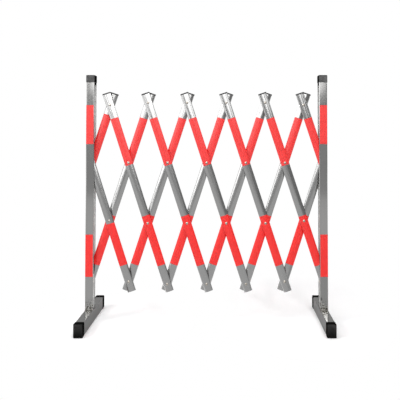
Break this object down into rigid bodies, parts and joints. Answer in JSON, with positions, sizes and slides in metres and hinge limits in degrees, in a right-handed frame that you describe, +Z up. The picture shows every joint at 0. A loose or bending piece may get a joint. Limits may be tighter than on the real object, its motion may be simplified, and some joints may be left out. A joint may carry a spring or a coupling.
{
  "type": "expandable barrier",
  "caption": "Free-standing scissor barrier: oval steel bars riveted in a folding lattice with red bands, between two slotted posts on cross feet; it opens to close off a passage.",
  "frame": {"origin": "on the floor, midway between the two posts and midway along their feet, at the rest opening", "axes": "+Z up, +X along the barrier to the right post, -Y towards the front, where the left-leaning bars lie"},
  "size_m": [1.1788, 0.4, 1.2],
  "materials": {
    "post_steel": "brushed",
    "bar_steel": "satin polished",
    "rivet_steel": "bright",
    "red_tape": "reflective film",
    "black_plastic": "moulded",
    "nylon": "moulded"
  },
  "bodies": {
    "left_post": {"left_post": "post_steel", "left_post_tapes": "red_tape", "left_foot": "post_steel", "left_end_caps": "black_plastic", "left_pivot_pin": "rivet_steel"},
    "left_slider": {"left_slider": "nylon"},
    "right_post": {"right_post": "post_steel", "right_post_tapes": "red_tape", "right_foot": "post_steel", "right_end_caps": "black_plastic", "right_pivot_pin": "rivet_steel"},
    "right_slider": {"right_slider": "nylon"},
    "front_bar_1": {"front_bar_1": "bar_steel", "front_bar_1_tapes": "red_tape", "front_bar_1_rivets": "rivet_steel"},
    "rear_bar_1": {"rear_bar_1": "bar_steel", "rear_bar_1_tapes": "red_tape", "rear_bar_1_plug": "black_plastic"},
    "front_bar_2": {"front_bar_2": "bar_steel", "front_bar_2_tapes": "red_tape", "front_bar_2_rivets": "rivet_steel", "front_bar_2_plug": "black_plastic"},
    "rear_bar_2": {"rear_bar_2": "bar_steel", "rear_bar_2_tapes": "red_tape", "rear_bar_2_plug": "black_plastic"},
    "front_bar_3": {"front_bar_3": "bar_steel", "front_bar_3_tapes": "red_tape", "front_bar_3_rivets": "rivet_steel", "front_bar_3_plug": "black_plastic"},
    "rear_bar_3": {"rear_bar_3": "bar_steel", "rear_bar_3_tapes": "red_tape", "rear_bar_3_plug": "black_plastic"},
    "front_bar_4": {"front_bar_4": "bar_steel", "front_bar_4_tapes": "red_tape", "front_bar_4_rivets": "rivet_steel", "front_bar_4_plug": "black_plastic"},
    "rear_bar_4": {"rear_bar_4": "bar_steel", "rear_bar_4_tapes": "red_tape", "rear_bar_4_plug": "black_plastic"},
    "front_bar_5": {"front_bar_5": "bar_steel", "front_bar_5_tapes": "red_tape", "front_bar_5_rivets": "rivet_steel", "front_bar_5_plug": "black_plastic"},
    "rear_bar_5": {"rear_bar_5": "bar_steel", "rear_bar_5_tapes": "red_tape", "rear_bar_5_plug": "black_plastic"},
    "front_bar_6": {"front_bar_6": "bar_steel", "front_bar_6_tapes": "red_tape", "front_bar_6_rivets": "rivet_steel", "front_bar_6_plug": "black_plastic"},
    "rear_bar_6": {"rear_bar_6": "bar_steel", "rear_bar_6_tapes": "red_tape", "rear_bar_6_plug": "black_plastic"},
    "front_bar_7": {"front_bar_7": "bar_steel", "front_bar_7_tapes": "red_tape", "front_bar_7_rivets": "rivet_steel", "front_bar_7_plug": "black_plastic"},
    "rear_bar_7": {"rear_bar_7": "bar_steel", "rear_bar_7_tapes": "red_tape"}
  },
  "joints": [
    {"name": "fold", "type": "hinge", "parent": "left_post", "child": "front_bar_1", "pos_m": [-0.5653, 0, 0.77141], "axis": [0, -1, 0], "range_deg": [-13.03, 23.97]},
    {"name": "front_1_to_rear_2", "type": "hinge", "parent": "front_bar_1", "child": "rear_bar_2", "pos_m": [-0.47356, 0, 0.48957], "axis": [0, 1, 0], "range_deg": [-26.06, 47.94]},
    {"name": "rear_2_to_front_2", "type": "hinge", "parent": "rear_bar_2", "child": "front_bar_2", "pos_m": [-0.38182, 0, 0.77141], "axis": [0, -1, 0], "range_deg": [-26.06, 47.94]},
    {"name": "front_2_to_rear_3", "type": "hinge", "parent": "front_bar_2", "child": "rear_bar_3", "pos_m": [-0.28636, 0, 0.47816], "axis": [0, 1, 0], "range_deg": [-26.06, 47.94]},
    {"name": "rear_3_to_front_3", "type": "hinge", "parent": "rear_bar_3", "child": "front_bar_3", "pos_m": [-0.19091, 0, 0.77141], "axis": [0, -1, 0], "range_deg": [-26.06, 47.94]},
    {"name": "front_3_to_rear_4", "type": "hinge", "parent": "front_bar_3", "child": "rear_bar_4", "pos_m": [-0.09545, 0, 0.47816], "axis": [0, 1, 0], "range_deg": [-26.06, 47.94]},
    {"name": "rear_4_to_front_4", "type": "hinge", "parent": "rear_bar_4", "child": "front_bar_4", "pos_m": [0, 0, 0.77141], "axis": [0, -1, 0], "range_deg": [-26.06, 47.94]},
    {"name": "front_4_to_rear_5", "type": "hinge", "parent": "front_bar_4", "child": "rear_bar_5", "pos_m": [0.09545, 0, 0.47816], "axis": [0, 1, 0], "range_deg": [-26.06, 47.94]},
    {"name": "rear_5_to_front_5", "type": "hinge", "parent": "rear_bar_5", "child": "front_bar_5", "pos_m": [0.19091, 0, 0.77141], "axis": [0, -1, 0], "range_deg": [-26.06, 47.94]},
    {"name": "front_5_to_rear_6", "type": "hinge", "parent": "front_bar_5", "child": "rear_bar_6", "pos_m": [0.28636, 0, 0.47816], "axis": [0, 1, 0], "range_deg": [-26.06, 47.94]},
    {"name": "rear_6_to_front_6", "type": "hinge", "parent": "rear_bar_6", "child": "front_bar_6", "pos_m": [0.38182, 0, 0.77141], "axis": [0, -1, 0], "range_deg": [-26.06, 47.94]},
    {"name": "front_6_to_rear_7", "type": "hinge", "parent": "front_bar_6", "child": "rear_bar_7", "pos_m": [0.47356, 0, 0.48957], "axis": [0, 1, 0], "range_deg": [-26.06, 47.94]},
    {"name": "rear_7_to_right_post", "type": "hinge", "parent": "rear_bar_7", "child": "right_post", "pos_m": [0.5653, 0, 0.77141], "axis": [0, -1, 0], "range_deg": [-13.03, 23.97]},
    {"name": "left_post_to_rear_1", "type": "hinge", "parent": "left_post", "child": "rear_bar_1", "pos_m": [-0.5653, 0, 0.77141], "axis": [0, 1, 0], "range_deg": [-13.03, 23.97]},
    {"name": "right_post_to_front_7", "type": "hinge", "parent": "right_post", "child": "front_bar_7", "pos_m": [0.5653, 0, 0.77141], "axis": [0, -1, 0], "range_deg": [-13.03, 23.97]},
    {"name": "rear_2_to_left_slider", "type": "hinge", "parent": "rear_bar_2", "child": "left_slider", "pos_m": [-0.5653, 0, 0.20772], "axis": [0, -1, 0], "range_deg": [-13.03, 23.97]},
    {"name": "front_6_to_right_slider", "type": "hinge", "parent": "front_bar_6", "child": "right_slider", "pos_m": [0.5653, 0, 0.20772], "axis": [0, 1, 0], "range_deg": [-13.03, 23.97]}
  ],
  "couplings": [
    {"joint": "front_1_to_rear_2", "follows": "fold", "ratio": 2},
    {"joint": "rear_2_to_front_2", "follows": "fold", "ratio": 2},
    {"joint": "front_2_to_rear_3", "follows": "fold", "ratio": 2},
    {"joint": "rear_3_to_front_3", "follows": "fold", "ratio": 2},
    {"joint": "front_3_to_rear_4", "follows": "fold", "ratio": 2},
    {"joint": "rear_4_to_front_4", "follows": "fold", "ratio": 2},
    {"joint": "front_4_to_rear_5", "follows": "fold", "ratio": 2},
    {"joint": "rear_5_to_front_5", "follows": "fold", "ratio": 2},
    {"joint": "front_5_to_rear_6", "follows": "fold", "ratio": 2},
    {"joint": "rear_6_to_front_6", "follows": "fold", "ratio": 2},
    {"joint": "front_6_to_rear_7", "follows": "fold", "ratio": 2},
    {"joint": "rear_7_to_right_post", "follows": "fold", "ratio": 1},
    {"joint": "left_post_to_rear_1", "follows": "fold", "ratio": 1},
    {"joint": "right_post_to_front_7", "follows": "fold", "ratio": 1},
    {"joint": "rear_2_to_left_slider", "follows": "fold", "ratio": 1},
    {"joint": "front_6_to_right_slider", "follows": "fold", "ratio": 1}
  ]
}
